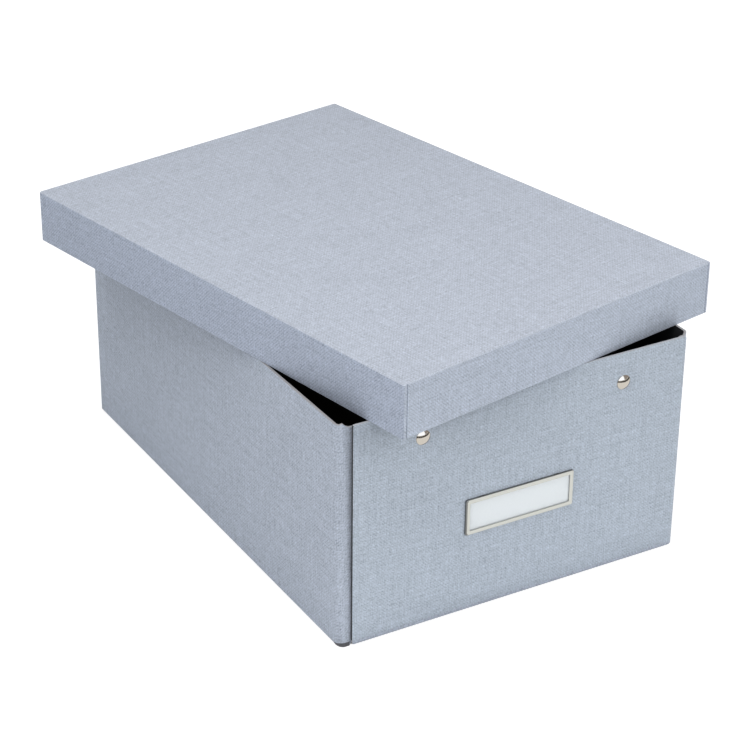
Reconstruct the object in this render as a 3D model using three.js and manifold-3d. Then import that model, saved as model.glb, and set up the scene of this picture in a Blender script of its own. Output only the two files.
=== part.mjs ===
// Storage box of covered board with a loose lid, a metal label frame and four press studs.
//
// Millimetres, +Z up. The origin is the centre of the box's underside, the front is towards -Y, and
// +X runs to the right along the front.
//
// One scored sheet folds up into the base, the two long side walls and the four corner flaps. The end
// panels fold up last, outside the flaps, and snap onto them. The lid lies askew on the rim.

import * as THREE from 'three';
import { mergeVertices } from 'three/addons/utils/BufferGeometryUtils.js';
import Module from 'manifold-3d';

const wasm = await Module();
wasm.setup();

// The box
const BOX_LENGTH = 355;        // over the outer faces of the two end panels
const BOX_WIDTH = 251;         // over the two side walls
const BOX_HEIGHT = 152;
const SHEET = 1.6;             // board and cover paper together
const BOTTOM_FOLD_R = 3;       // outer radius of the folds along the base
const CORNER_FOLD_R = 5;       // outer radius of the upright corner folds
const FLAP_LENGTH = 75;
const FLAP_FOOT = 2.8;         // the flaps are trimmed clear of the base
const FLAP_TRIM_R = 8;
const STUD_ROOM = 1.6;         // between a corner flap and the end panel in front of it

// The end panels
const PANEL_WIDTH = 237.6;
const PANEL_SHIFT = 2;         // the ends of this box sit a little to the right of its middle
const PANEL_CORNER_R = 1.2;
const PANEL_FOOT = 4;          // height of the score line that an end panel turns on

// The lid
const LID_WIDTH = 258.4;
const LID_LENGTH = 364;
const LID_HEIGHT = 35;
const LID_BOARD = 2.2;
const LID_CORNER_R = 1.6;
const LID_EDGE_R = 1.2;
const LID_TURN = 11.15;        // degrees, seen from above
const LID_PLACE = { x: -9, y: -2.6 };

// The press studs, each a cap and a socket on the panel, and a stud and a post on the flap
const STUD_PITCH = 144;
const STUD_SHIFT = 2.4;
const STUD_DROP = 20.2;        // below the rim
const CAP_R = 5;
const CAP_RISE = 2;
const CAP_RIM = 0.35;
const CAP_POST_R = 1;
const CAP_CLENCH_R = 1.5;
const SOCKET_FLANGE_R = 4.6;
const SOCKET_BORE_R = 2.2;
const METAL = 0.5;             // thickness of the stamped sheet metal
const STUD_HEAD_R = 1.85;
const STUD_NECK_R = 1.6;
const STUD_FLANGE_R = 4.2;
const POST_R = 0.95;
const POST_HEAD_R = 4.2;

// The label frame
const FRAME_WIDTH = 78.4;
const FRAME_HEIGHT = 24.6;
const FRAME_CORNER_R = 1.2;
const FRAME_DEPTH = 1.5;
const FRAME_LIP = 2.8;         // width of the front lip that holds the card
const FRAME_BEVEL = 0.3;
const FRAME_SHIFT = 0.5;
const FRAME_MIDDLE = 67.8;     // height of its middle above the base
const PRONG_WIDTH = 3;
const PRONG_LEG = 4;
const PRONG_INSET = 12;        // from an end of the frame to the middle of a prong
const CARD = 0.4;

// Clearances
const CLEAR = 0.3;             // between pieces that move, and around what is slipped in
const FINE = 0.1;              // inside a riveted press stud

const ROUND = 24;              // facets round a press stud
const ARC = 5;                 // facets in a quarter turn of a fold

const X = new THREE.Vector3(1, 0, 0);
const Y = new THREE.Vector3(0, 1, 0);
const Z = new THREE.Vector3(0, 0, 1);
const FRONT = -1;
const BACK = 1;
const LEFT = -1;
const RIGHT = 1;

// Where things are
const panelFace = BOX_LENGTH / 2;
const panelBack = panelFace - SHEET;
const flapFace = panelBack - STUD_ROOM;
const flapBack = flapFace - SHEET;
const rim = BOX_HEIGHT;
const studHeight = rim - STUD_DROP;
const socketHoleR = SOCKET_BORE_R + METAL + CLEAR;
const postHoleR = POST_R + CLEAR;

const material = (name, color, roughness, metalness) =>
  new THREE.MeshStandardMaterial({ name, color, roughness, metalness });
const linen = material('linen_paper', 0xaab4c1, 0.85, 0);
const nickel = material('nickel', 0xc9c4b8, 0.3, 0.9);
const card = material('card', 0xe4e7ea, 0.8, 0);

function toSolid(geometry) {
  const bare = geometry.index ? geometry.toNonIndexed() : geometry.clone();
  bare.deleteAttribute('normal');
  bare.deleteAttribute('uv');
  const merged = mergeVertices(bare, 1e-4);
  return new wasm.Manifold(new wasm.Mesh({
    numProp: 3,
    vertProperties: new Float32Array(merged.attributes.position.array),
    triVerts: new Uint32Array(merged.index.array),
  }));
}

function toGeometry(solid) {
  const mesh = solid.getMesh();
  const geometry = new THREE.BufferGeometry();
  geometry.setAttribute('position', new THREE.BufferAttribute(new Float32Array(mesh.vertProperties), 3));
  geometry.setIndex(new THREE.BufferAttribute(new Uint32Array(mesh.triVerts), 1));
  geometry.computeVertexNormals();
  return geometry;
}

// An outline swept by length, centred on the sweep. The outline's own x and y run along across and up.
function swept(shape, length, across, up) {
  const along = new THREE.Vector3().crossVectors(across, up);
  const options = { depth: length, bevelEnabled: false, curveSegments: ARC };
  const geometry = new THREE.ExtrudeGeometry(shape, options);
  geometry.translate(0, 0, -length / 2);
  return geometry.applyMatrix4(new THREE.Matrix4().makeBasis(across, up, along));
}

const facing = (shape, thickness, y) => swept(shape, thickness, X, Z).translate(0, y, 0);

function block(width, depth, height, x, y, z) {
  return new THREE.BoxGeometry(width, depth, height).translate(x, y, z);
}

function roundedRectangle(width, height, radii) {
  const [w, h] = [width / 2, height / 2];
  const { top, bottom } = radii;
  const shape = new THREE.Shape();
  shape.moveTo(-w + bottom, -h);
  shape.lineTo(w - bottom, -h);
  if (bottom > 0) shape.absarc(w - bottom, -h + bottom, bottom, -Math.PI / 2, 0, false);
  shape.lineTo(w, h - top);
  if (top > 0) shape.absarc(w - top, h - top, top, 0, Math.PI / 2, false);
  shape.lineTo(-w + top, h);
  if (top > 0) shape.absarc(-w + top, h - top, top, Math.PI / 2, Math.PI, false);
  shape.lineTo(-w, -h + bottom);
  if (bottom > 0) shape.absarc(-w + bottom, -h + bottom, bottom, Math.PI, 1.5 * Math.PI, false);
  return shape;
}

// The section of a sheet folded up at both ends: a floor of the given span between two walls.
function trough(span, wall, radius) {
  const half = span / 2;
  const centre = half - radius;
  const inner = radius - SHEET;
  const shape = new THREE.Shape();
  shape.moveTo(-half, wall);
  shape.lineTo(-half, radius);
  shape.absarc(-centre, radius, radius, Math.PI, 1.5 * Math.PI, false);
  shape.lineTo(centre, 0);
  shape.absarc(centre, radius, radius, 1.5 * Math.PI, 2 * Math.PI, false);
  shape.lineTo(half, wall);
  shape.lineTo(half - SHEET, wall);
  shape.lineTo(half - SHEET, radius);
  shape.absarc(centre, radius, inner, 0, -0.5 * Math.PI, true);
  shape.lineTo(-centre, SHEET);
  shape.absarc(-centre, radius, inner, -0.5 * Math.PI, -Math.PI, true);
  shape.lineTo(-half + SHEET, wall);
  return shape;
}

// A turned piece on the axis of one press stud. Each point is [radius, height over the panel's face].
function turned(points, end, side) {
  const profile = points.map(([radius, height]) => new THREE.Vector2(radius, height));
  const geometry = new THREE.LatheGeometry(profile, ROUND);
  if (end === FRONT) geometry.rotateX(Math.PI);
  geometry.translate(STUD_SHIFT + side * STUD_PITCH / 2, end * panelFace, studHeight);
  return toGeometry(toSolid(geometry));
}

// A drill through the sheet whose outer face is at the given distance from the box's middle
function studDrill(radius, face, end, side) {
  const drill = new THREE.CylinderGeometry(radius, radius, 2 * SHEET, ROUND);
  const middle = end * (face - SHEET / 2);
  return toSolid(drill.translate(STUD_SHIFT + side * STUD_PITCH / 2, middle, studHeight));
}

// A block that stands on z = 0, with rounded upright corners and bevelled top edges
function bevelledBlock(width, length, height, corner, bevel, segments) {
  const radius = Math.max(corner - bevel, 0);
  const corners = { top: radius, bottom: radius };
  const outline = roundedRectangle(width - 2 * bevel, length - 2 * bevel, corners);
  const whole = new THREE.ExtrudeGeometry(outline, {
    depth: height,
    bevelThickness: bevel,
    bevelSize: bevel,
    bevelSegments: segments,
    curveSegments: ARC,
  }).translate(0, 0, -bevel);
  const below = block(2 * width, 2 * length, 4 * bevel, 0, 0, -2 * bevel);
  return toSolid(whole).subtract(toSolid(below));
}

// The folded sheet: base, side walls and corner flaps in one piece
function makeCase() {
  const wallLength = 2 * (flapFace - CORNER_FOLD_R);
  const channel = swept(trough(BOX_WIDTH, BOX_HEIGHT, BOTTOM_FOLD_R), wallLength, X, Z);
  const endFolds = swept(trough(BOX_LENGTH, PANEL_FOOT, BOTTOM_FOLD_R), PANEL_WIDTH, Y, Z);
  let sheet = toSolid(channel).add(toSolid(endFolds.translate(PANEL_SHIFT, 0, 0)));
  for (const side of [LEFT, RIGHT]) {
    const inwards = X.clone().multiplyScalar(-side);
    const across = new THREE.Vector3().crossVectors(inwards, Z);
    const flapHeight = BOX_HEIGHT - FLAP_FOOT;
    const wrap = swept(trough(2 * flapFace, FLAP_LENGTH, CORNER_FOLD_R), flapHeight, across, inwards);
    const trim = { top: FLAP_TRIM_R, bottom: FLAP_TRIM_R };
    const mask = facing(roundedRectangle(2 * FLAP_LENGTH, flapHeight, trim), BOX_LENGTH, 0);
    for (const shape of [wrap, mask]) {
      shape.translate(side * BOX_WIDTH / 2, 0, FLAP_FOOT + flapHeight / 2);
    }
    sheet = sheet.add(toSolid(wrap).intersect(toSolid(mask)));
  }
  for (const end of [FRONT, BACK]) {
    for (const side of [LEFT, RIGHT]) {
      sheet = sheet.subtract(studDrill(postHoleR, flapFace, end, side));
    }
  }
  return toGeometry(sheet);
}

// The label frame, its card and the slits for its prongs are made flat, with the panel's face at z = 0.
function ontoFrontPanel(geometry) {
  geometry.applyMatrix4(new THREE.Matrix4().makeBasis(X, Z, Y.clone().negate()));
  return geometry.translate(FRAME_SHIFT, -panelFace, FRAME_MIDDLE);
}

// The prongs' places on the frame's two long edges, and the way that each is clenched
function prongPlaces() {
  const x = FRAME_WIDTH / 2 - PRONG_INSET;
  const y = FRAME_HEIGHT / 2 - METAL / 2;
  return [[-x, y, -1], [x, y, -1], [-x, -y, 1], [x, -y, 1]];
}

function makePanel(end) {
  const foot = PANEL_FOOT + CLEAR;
  const corners = { top: PANEL_CORNER_R, bottom: 0 };
  const outline = roundedRectangle(PANEL_WIDTH, rim - foot, corners);
  const plate = facing(outline, SHEET, end * (panelFace - SHEET / 2));
  let panel = toSolid(plate.translate(PANEL_SHIFT, 0, (rim + foot) / 2));
  for (const side of [LEFT, RIGHT]) {
    panel = panel.subtract(studDrill(socketHoleR, panelFace, end, side));
  }
  if (end === FRONT) {
    for (const [x, y] of prongPlaces()) {
      const slit = block(PRONG_WIDTH + 2 * CLEAR, METAL + 2 * CLEAR, 4 * SHEET, x, y, 0);
      panel = panel.subtract(toSolid(ontoFrontPanel(slit)));
    }
  }
  return toGeometry(panel);
}

function makeLid() {
  const outer = bevelledBlock(LID_WIDTH, LID_LENGTH, LID_HEIGHT, LID_CORNER_R, LID_EDGE_R, 3);
  const inside = { x: LID_WIDTH - 2 * LID_BOARD, y: LID_LENGTH - 2 * LID_BOARD };
  const hollow = block(inside.x, inside.y, 2 * (LID_HEIGHT - LID_BOARD), 0, 0, 0);
  return toGeometry(outer.subtract(toSolid(hollow)));
}

// A dome on the panel with a hollow rivet that holds the socket
function makeCap(end, side) {
  const dome = [];
  for (let step = 0; step <= ARC; step += 1) {
    const angle = (step / ARC) * Math.PI / 2;
    dome.push([CAP_R * Math.cos(angle), CAP_RIM + (CAP_RISE - CAP_RIM) * Math.sin(angle)]);
  }
  dome[ARC][0] = 0;
  const floor = -METAL - 2 * FINE;
  return turned([
    [0, floor - METAL],
    [CAP_CLENCH_R, floor - METAL],
    [CAP_CLENCH_R, floor],
    [CAP_POST_R, floor],
    [CAP_POST_R, 0],
    [CAP_R, 0],
    ...dome,
  ], end, side);
}

// The socket hangs in the panel's hole, with a flange on its inner face.
function makeSocket(end, side) {
  const hole = CAP_POST_R + FINE;
  const outer = SOCKET_BORE_R + METAL;
  return turned([
    [hole, -FINE - METAL],
    [SOCKET_BORE_R, -FINE - METAL],
    [SOCKET_BORE_R, -SHEET - METAL],
    [SOCKET_FLANGE_R, -SHEET - METAL],
    [SOCKET_FLANGE_R, -SHEET],
    [outer, -SHEET],
    [outer, -FINE],
    [hole, -FINE],
    [hole, -FINE - METAL],
  ], end, side);
}

// The stud stands on the flap and snaps into the socket.
function makeStud(end, side) {
  const seat = flapFace - panelFace;
  const top = -2 * METAL - 2 * FINE - CLEAR;
  const bore = POST_R + FINE;
  return turned([
    [bore, seat],
    [STUD_FLANGE_R, seat],
    [STUD_FLANGE_R, seat + METAL],
    [STUD_NECK_R, seat + METAL],
    [STUD_HEAD_R, top - METAL],
    [STUD_NECK_R, top],
    [0, top],
    [0, top - METAL],
    [bore, top - METAL],
    [bore, seat],
  ], end, side);
}

// The post's head lies inside the box, and its shank reaches through the flap into the stud.
function makePost(end, side) {
  const seat = flapBack - panelFace;
  const tip = -3 * METAL - 3 * FINE - CLEAR;
  return turned([
    [0, seat - METAL],
    [POST_HEAD_R, seat - METAL],
    [POST_HEAD_R, seat],
    [POST_R, seat],
    [POST_R, tip],
    [0, tip],
  ], end, side);
}

// A shallow stamped frame: a wall on the panel, a front lip, and prongs clenched behind the panel
function makeLabelFrame() {
  let frame = bevelledBlock(FRAME_WIDTH, FRAME_HEIGHT, FRAME_DEPTH, FRAME_CORNER_R, FRAME_BEVEL, 2);
  const pocket = block(FRAME_WIDTH - 2 * METAL, FRAME_HEIGHT - 2 * METAL, 2 * (FRAME_DEPTH - METAL), 0, 0, 0);
  const window = block(FRAME_WIDTH - 2 * FRAME_LIP, FRAME_HEIGHT - 2 * FRAME_LIP, 4 * FRAME_DEPTH, 0, 0, 0);
  frame = frame.subtract(toSolid(pocket)).subtract(toSolid(window));
  const reach = SHEET + CLEAR + METAL;
  for (const [x, y, turn] of prongPlaces()) {
    const shank = block(PRONG_WIDTH, METAL, reach + METAL, x, y, (METAL - reach) / 2);
    const legMiddle = y + turn * (PRONG_LEG - METAL) / 2;
    const leg = block(PRONG_WIDTH, PRONG_LEG, METAL, x, legMiddle, METAL / 2 - reach);
    frame = frame.add(toSolid(shank)).add(toSolid(leg));
  }
  return ontoFrontPanel(toGeometry(frame));
}

function makeLabelCard() {
  const slack = 2 * (METAL + CLEAR);
  const sheet = block(FRAME_WIDTH - slack, FRAME_HEIGHT - slack, CARD, 0, 0, CLEAR + CARD / 2);
  return ontoFrontPanel(sheet);
}

const box = new THREE.Group();

function put(parent, name, geometry, finish) {
  const mesh = new THREE.Mesh(geometry, finish);
  mesh.name = name;
  parent.add(mesh);
}

put(box, 'case', makeCase(), linen);
put(box, 'front_panel', makePanel(FRONT), linen);
put(box, 'back_panel', makePanel(BACK), linen);
put(box, 'label_frame', makeLabelFrame(), nickel);
put(box, 'label_card', makeLabelCard(), card);

for (const [endName, end] of [['front', FRONT], ['back', BACK]]) {
  for (const [sideName, side] of [['left', LEFT], ['right', RIGHT]]) {
    put(box, `snap_cap_${endName}_${sideName}`, makeCap(end, side), nickel);
    put(box, `snap_socket_${endName}_${sideName}`, makeSocket(end, side), nickel);
    put(box, `snap_stud_${endName}_${sideName}`, makeStud(end, side), nickel);
    put(box, `snap_post_${endName}_${sideName}`, makePost(end, side), nickel);
  }
}

const lidOnRim = new THREE.Group();
lidOnRim.position.set(LID_PLACE.x, LID_PLACE.y, rim + CLEAR);
lidOnRim.rotation.z = THREE.MathUtils.degToRad(LID_TURN);
put(lidOnRim, 'lid', makeLid(), linen);
box.add(lidOnRim);

export default box;
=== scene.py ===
# %% [markdown]
# # A storage box of covered board
#
# The box is made from flat sheets: grey board with blue-grey linen paper glued on the outside and
# black paper on the inside. One sheet is scored and folded into the base, the side walls and the
# corner flaps. The two end panels fold up last and snap onto the flaps with press studs. A shallow
# lid lies askew on the rim. This lesson makes each piece the way that the workshop does: cut a
# blank, score it, fold it, and only then give it its thickness.
#
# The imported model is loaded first. It fixes where every piece is, so nothing has to be fitted.

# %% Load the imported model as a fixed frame
import math

import bmesh
import bpy
from mathutils import Matrix, Vector


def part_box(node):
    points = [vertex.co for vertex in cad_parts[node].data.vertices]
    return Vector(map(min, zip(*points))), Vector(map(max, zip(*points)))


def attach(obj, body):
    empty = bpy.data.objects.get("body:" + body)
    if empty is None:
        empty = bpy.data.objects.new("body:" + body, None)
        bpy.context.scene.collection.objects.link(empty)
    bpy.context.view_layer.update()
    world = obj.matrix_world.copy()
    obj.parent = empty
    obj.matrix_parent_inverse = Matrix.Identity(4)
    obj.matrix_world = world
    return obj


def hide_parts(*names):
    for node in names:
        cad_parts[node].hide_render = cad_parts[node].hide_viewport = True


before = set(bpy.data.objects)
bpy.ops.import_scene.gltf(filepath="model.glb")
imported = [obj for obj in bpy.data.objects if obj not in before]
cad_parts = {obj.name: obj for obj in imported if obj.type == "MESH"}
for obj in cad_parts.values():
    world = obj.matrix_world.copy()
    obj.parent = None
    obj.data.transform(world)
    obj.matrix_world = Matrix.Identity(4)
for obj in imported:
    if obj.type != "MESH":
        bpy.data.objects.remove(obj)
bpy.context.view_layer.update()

# %% [markdown]
# ## Sizes
#
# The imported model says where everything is, so the sizes are read from it wherever it can say them.
# What a bounding box can't tell, such as the radius of a fold, is a named value here, in metres like
# everything in Blender.

# %% Sizes of the box and its board
MM = 0.001
NEAR = 1e-6
FRONT = -1
BACK = 1
LEFT = -1
RIGHT = 1

case_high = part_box("case")[1]
panel_low, panel_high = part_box("front_panel")
lid_low, lid_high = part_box("lid")

BOARD = panel_high.y - panel_low.y
STUD_ROOM = 1.6 * MM
BOTTOM_FOLD = 3 * MM
CORNER_FOLD = 5 * MM
FLAP_LENGTH = 75 * MM
FLAP_TRIM = 8 * MM

side_face = case_high.x
end_face = case_high.y
rim = case_high.z
flap_face = end_face - BOARD - STUD_ROOM
score_height = 4.15 * MM
print("board", round(BOARD / MM, 2), "mm, rim at", round(rim / MM, 1), "mm")

# %% [markdown]
# ## Drawing a flat blank
#
# A blank is cut from a flat sheet. Here it starts as one rectangle. Its edges are pulled out where
# the sheet goes on, and a plane cuts new edges into it where something bends or ends. Every blank
# lies with its outer face down, so that all folds turn upwards.

# %% Helpers that draw a blank
UP = Vector((0, 0, 1))


def near(first, second, reach=NEAR):
    return abs(first - second) < reach


def rectangle(bm, low_x, high_x, low_y, high_y):
    """Adds one flat face with its normal down."""
    size = Matrix.Diagonal((high_x - low_x, low_y - high_y, 1, 1))
    place = Matrix.Translation(((low_x + high_x) / 2, (low_y + high_y) / 2, 0))
    bmesh.ops.create_grid(bm, x_segments=1, y_segments=1, size=0.5, matrix=place @ size)


def edges_where(bm, test):
    return [edge for edge in bm.edges if all(test(vert.co) for vert in edge.verts)]


def pull(bm, edges, offset):
    """Extends the sheet from some of its edges."""
    made = bmesh.ops.extrude_edge_only(bm, edges=edges)["geom"]
    verts = [item for item in made if isinstance(item, bmesh.types.BMVert)]
    bmesh.ops.translate(bm, verts=verts, vec=offset)


def cut(bm, test, point, normal):
    """Cuts the faces whose middle passes the test along a plane."""
    faces = [face for face in bm.faces if test(face.calc_center_median())]
    edges = {edge for face in faces for edge in face.edges}
    verts = {vert for face in faces for vert in face.verts}
    geometry = faces + list(edges) + list(verts)
    bmesh.ops.bisect_plane(bm, geom=geometry, plane_co=point, plane_no=normal, dist=1e-7)


print("helpers for flat blanks")

# %% [markdown]
# ## Folding a sheet
#
# A folded box could be drawn as walls joined at the corners, but then its rounded folds and the
# direction of its paper have to be faked. Folding a flat blank gives both for nothing. A fold is a
# row of close score lines: everything past each line turns by a small, equal angle. The flat
# position of each point is kept as a UV map in metres, and the linen pattern will read it, so the
# threads run on over the folds.

# %% Helpers that fold a blank
FLAT_MAP = "flat_sheet"


def keep_flat_map(bm):
    layer = bm.loops.layers.uv.new(FLAT_MAP)
    for face in bm.faces:
        for loop in face.loops:
            loop[layer].uv = loop.vert.co.xy


def fold_allowance(radius, steps):
    """How much of the flat sheet a right-angled fold of this outer radius takes up."""
    return 2 * steps * radius * math.tan(math.pi / 4 / steps)


def fold_up(bm, test, line, outward, radius, steps):
    """Folds what lies past a line and passes the test upwards by a right angle."""
    outward = Vector(outward)
    spacing = fold_allowance(radius, steps) / steps
    creases = [line + spacing * (step + 0.5) for step in range(steps)]
    for crease in creases:
        cut(bm, test, outward * crease, outward)
    moved = [vert for vert in bm.verts if test(vert.co)]
    beyond = [[v for v in moved if v.co.dot(outward) > crease + NEAR] for crease in creases]
    turn = Matrix.Rotation(math.pi / 2 / steps, 3, outward.cross(UP))
    for crease, verts in reversed(list(zip(creases, beyond))):
        bmesh.ops.rotate(bm, verts=verts, cent=outward * crease, matrix=turn)


FOLD_STEPS = 6
print("a 3 mm fold takes up", round(fold_allowance(BOTTOM_FOLD, FOLD_STEPS) / MM, 2), "mm of sheet")

# %% [markdown]
# ## Holes in a sheet
#
# Rivets and prongs go through the board, so it needs real holes. A boolean could cut them later, but
# in the flat sheet it is simpler. Four cuts leave an oblong face round the place, and that face is
# taken out. For a round hole, a ring of edges is then bridged to the edges of the opening.

# %% Helpers that make holes
HOLE_SQUARE = 2.8


def distance_to(face, point):
    """How far a point in the sheet's plane lies outside a face."""
    low_x = min(vert.co.x for vert in face.verts)
    high_x = max(vert.co.x for vert in face.verts)
    low_y = min(vert.co.y for vert in face.verts)
    high_y = max(vert.co.y for vert in face.verts)
    out_x = max(low_x - point.x, point.x - high_x, 0)
    out_y = max(low_y - point.y, point.y - high_y, 0)
    return out_x + out_y


def cut_out(bm, centre, size):
    """Cuts an oblong hole and gives back the edges round it."""
    centre = Vector((*centre, 0))
    for axis, reach in ((Vector((1, 0, 0)), size[0] / 2), (Vector((0, 1, 0)), size[1] / 2)):
        for way in (-1, 1):
            nearest = min(bm.faces, key=lambda face: distance_to(face, centre))
            cut(bm, lambda co: co == nearest.calc_center_median(), centre + axis * way * reach, axis)
    middle = min(bm.faces, key=lambda face: distance_to(face, centre))
    outline = list(middle.edges)
    bmesh.ops.delete(bm, geom=[middle], context="FACES_ONLY")
    return outline


def punch(bm, centre, radius, sides=32):
    """Cuts a round hole."""
    outline = cut_out(bm, centre, (HOLE_SQUARE * radius, HOLE_SQUARE * radius))
    split = bmesh.ops.subdivide_edges(bm, edges=outline, cuts=sides // 4 - 1)["geom_split"]
    outline = [item for item in split if isinstance(item, bmesh.types.BMEdge)]
    place = Matrix.Translation((*centre, 0))
    ring = bmesh.ops.create_circle(bm, segments=sides, radius=radius, matrix=place)
    ring_edges = {edge for vert in ring["verts"] for edge in vert.link_edges}
    bmesh.ops.bridge_loops(bm, edges=outline + list(ring_edges))


print("helpers for round and oblong holes")

# %% [markdown]
# ## From sheet to board
#
# A folded blank is still a skin. Solidify gives it the board's thickness on its inner side, and the
# new faces tell what they are: those that touch the skin are the cut edges, where the raw board
# shows, and the others are the black lining. The cut edges are then rounded a little, because a
# knife leaves board with soft corners, and a perfectly sharp edge catches no light.

# %% Helpers that thicken a sheet and make the object
PAPER_FACE = 0
LINING_FACE = 1
CUT_FACE = 2
SHARP_ANGLE = math.radians(50)


def thicken(bm, thickness):
    skin = set(bm.faces)
    bmesh.ops.solidify(bm, geom=bm.faces[:], thickness=thickness)
    for face in bm.faces:
        neighbours = {other for edge in face.edges for other in edge.link_faces}
        if face in skin:
            face.material_index = PAPER_FACE
        elif neighbours & skin:
            face.material_index = CUT_FACE
        else:
            face.material_index = LINING_FACE


def soften(bm, test, width, segments=2):
    """Rounds the sharp edges that pass the test."""
    sharp = [edge for edge in bm.edges if len(edge.link_faces) == 2]
    sharp = [edge for edge in sharp if edge.calc_face_angle() > SHARP_ANGLE and test(edge)]
    bmesh.ops.bevel(
        bm, geom=sharp, offset=width, offset_type="OFFSET", segments=segments,
        profile=0.5, affect="EDGES", material=-1, clamp_overlap=True,
    )


def finish_piece(bm, name, body, node, materials, smooth_angle=30):
    mesh = bpy.data.meshes.new(name)
    bm.normal_update()
    bm.to_mesh(mesh)
    bm.free()
    for material in materials:
        mesh.materials.append(material)
    mesh.shade_smooth()
    mesh.set_sharp_from_angle(angle=math.radians(smooth_angle))
    piece = bpy.data.objects.new(name, mesh)
    bpy.context.scene.collection.objects.link(piece)
    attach(piece, body)
    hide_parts(node)
    print(name, len(mesh.polygons), "faces")


print("helpers that turn a folded blank into board")

# %% [markdown]
# ## Building a material from nodes
#
# A material is a small graph. These helpers add a node with its settings and join two values with
# one sum. The last one is the texture that every thread of the linen starts from: noise that has its
# own fineness along each direction of the sheet, so that its spots become streaks.

# %% Node helpers
SEED_RATIO = 2.7


def new_material(name):
    material = bpy.data.materials.new(name)
    material.use_nodes = True
    tree = material.node_tree
    shader = tree.nodes["Principled BSDF"]
    return material, tree, shader


def add(tree, kind, **settings):
    """Adds a node. A setting is a property of the node or else the name of an input."""
    node = tree.nodes.new(kind)
    for key, value in settings.items():
        if hasattr(node, key):
            setattr(node, key, value)
        else:
            node.inputs[key].default_value = value
    return node


def math_node(tree, operation, first, second):
    node = tree.nodes.new("ShaderNodeMath")
    node.operation = operation
    for socket, value in zip(node.inputs, (first, second)):
        if isinstance(value, (int, float)):
            socket.default_value = value
        else:
            tree.links.new(value, socket)
    return node.outputs[0]


def stretched_noise(tree, coordinates, scale, detail, roughness, seed):
    """Noise with its own number of cells for each millimetre along u and along v."""
    size = (scale[0] / MM, scale[1] / MM, 1)
    start = (seed, SEED_RATIO * seed, 0)
    mapping = add(tree, "ShaderNodeMapping", Scale=size, Location=start)
    tree.links.new(coordinates, mapping.inputs["Vector"])
    noise = add(tree, "ShaderNodeTexNoise", noise_dimensions="2D", Scale=1)
    noise.inputs["Detail"].default_value = detail
    noise.inputs["Roughness"].default_value = roughness
    tree.links.new(mapping.outputs[0], noise.inputs["Vector"])
    return noise.outputs[0]


print("helpers for materials")

# %% [markdown]
# ## The pattern of linen paper
#
# The paper is printed and embossed like a linen cloth. Threads run in both directions. Most are fine,
# some are thicker for a centimetre, and a few long ones run right across, which a weaver calls slubs.
# Each kind is one stretched noise in each direction, and their sum is the weave. A row of the list
# gives its cells for each millimetre both ways, detail, roughness, shift of the seed, and weight.
# Close to, the weave also shows slanted ribs, as twill does. They are a sine across the diagonal, and
# they come and go in patches, because a regular rib all over would look printed.

# %% Threads and ribs
THREADS = [
    ((0.15, 1.7), 2, 0.6, 0, 1),
    ((1.7, 0.15), 2, 0.6, 5, 1),
    ((0.6, 2.4), 1, 0.5, 11, 1),
    ((2.4, 0.6), 1, 0.5, 17, 1),
    ((0.02, 0.9), 1, 0.5, 37, 0.45),
    ((0.9, 0.02), 1, 0.5, 41, 0.45),
]
TWILL_PITCH = 1.57 * MM
PATCH_SCALE = (0.2, 0.2)
PATCH_SEED = 29


def thread_sum(tree, where, seed):
    """The sum of the threads, each with its weight, around zero."""
    total = -sum(weight for *_, weight in THREADS) / 2
    for scale, detail, roughness, shift, weight in THREADS:
        noise = stretched_noise(tree, where, scale, detail, roughness, seed + shift)
        total = math_node(tree, "ADD", math_node(tree, "MULTIPLY", noise, weight), total)
    return total


def slanted_ribs(tree, where, way, seed):
    """Ribs across one diagonal of the sheet, which come and go in patches."""
    patches = stretched_noise(tree, where, PATCH_SCALE, 1, 0.5, seed + PATCH_SEED)
    turned_map = add(tree, "ShaderNodeMapping", Rotation=(0, 0, way * math.pi / 4))
    tree.links.new(where, turned_map.inputs["Vector"])
    split = add(tree, "ShaderNodeSeparateXYZ")
    tree.links.new(turned_map.outputs[0], split.inputs[0])
    phase = math_node(tree, "MULTIPLY", split.outputs["X"], 2 * math.pi / TWILL_PITCH)
    return math_node(tree, "MULTIPLY", math_node(tree, "SINE", phase, 0), patches)


print(len(THREADS), "kinds of thread, ribs", round(TWILL_PITCH / MM, 2), "mm apart")

# %% [markdown]
# ## Linen cover paper
#
# The pattern lightens and darkens one plain blue-grey, and the weave is also the height of a slight
# bump, so the surface has the dry, matt look of book cloth. Case, panels, lid and skirts are covered
# with cuts of the paper that differ a little in how far the threads stand out, and in the way that the
# ribs slant, because each cut lies another way round on the roll. Their shades differ too. Each is set
# so that its face renders as bright as it was measured, so these differences are partly painted light
# and shade. The long skirts' darker, bluer cut is painted shade and weaker sheen.

# %% Cover paper material
CLOUD_SCALE = (0.05, 0.05)
CLOUD_SEED = 23
CLOUD_DEPTH = 0.05
EMBOSSING = 0.1 * MM


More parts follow.
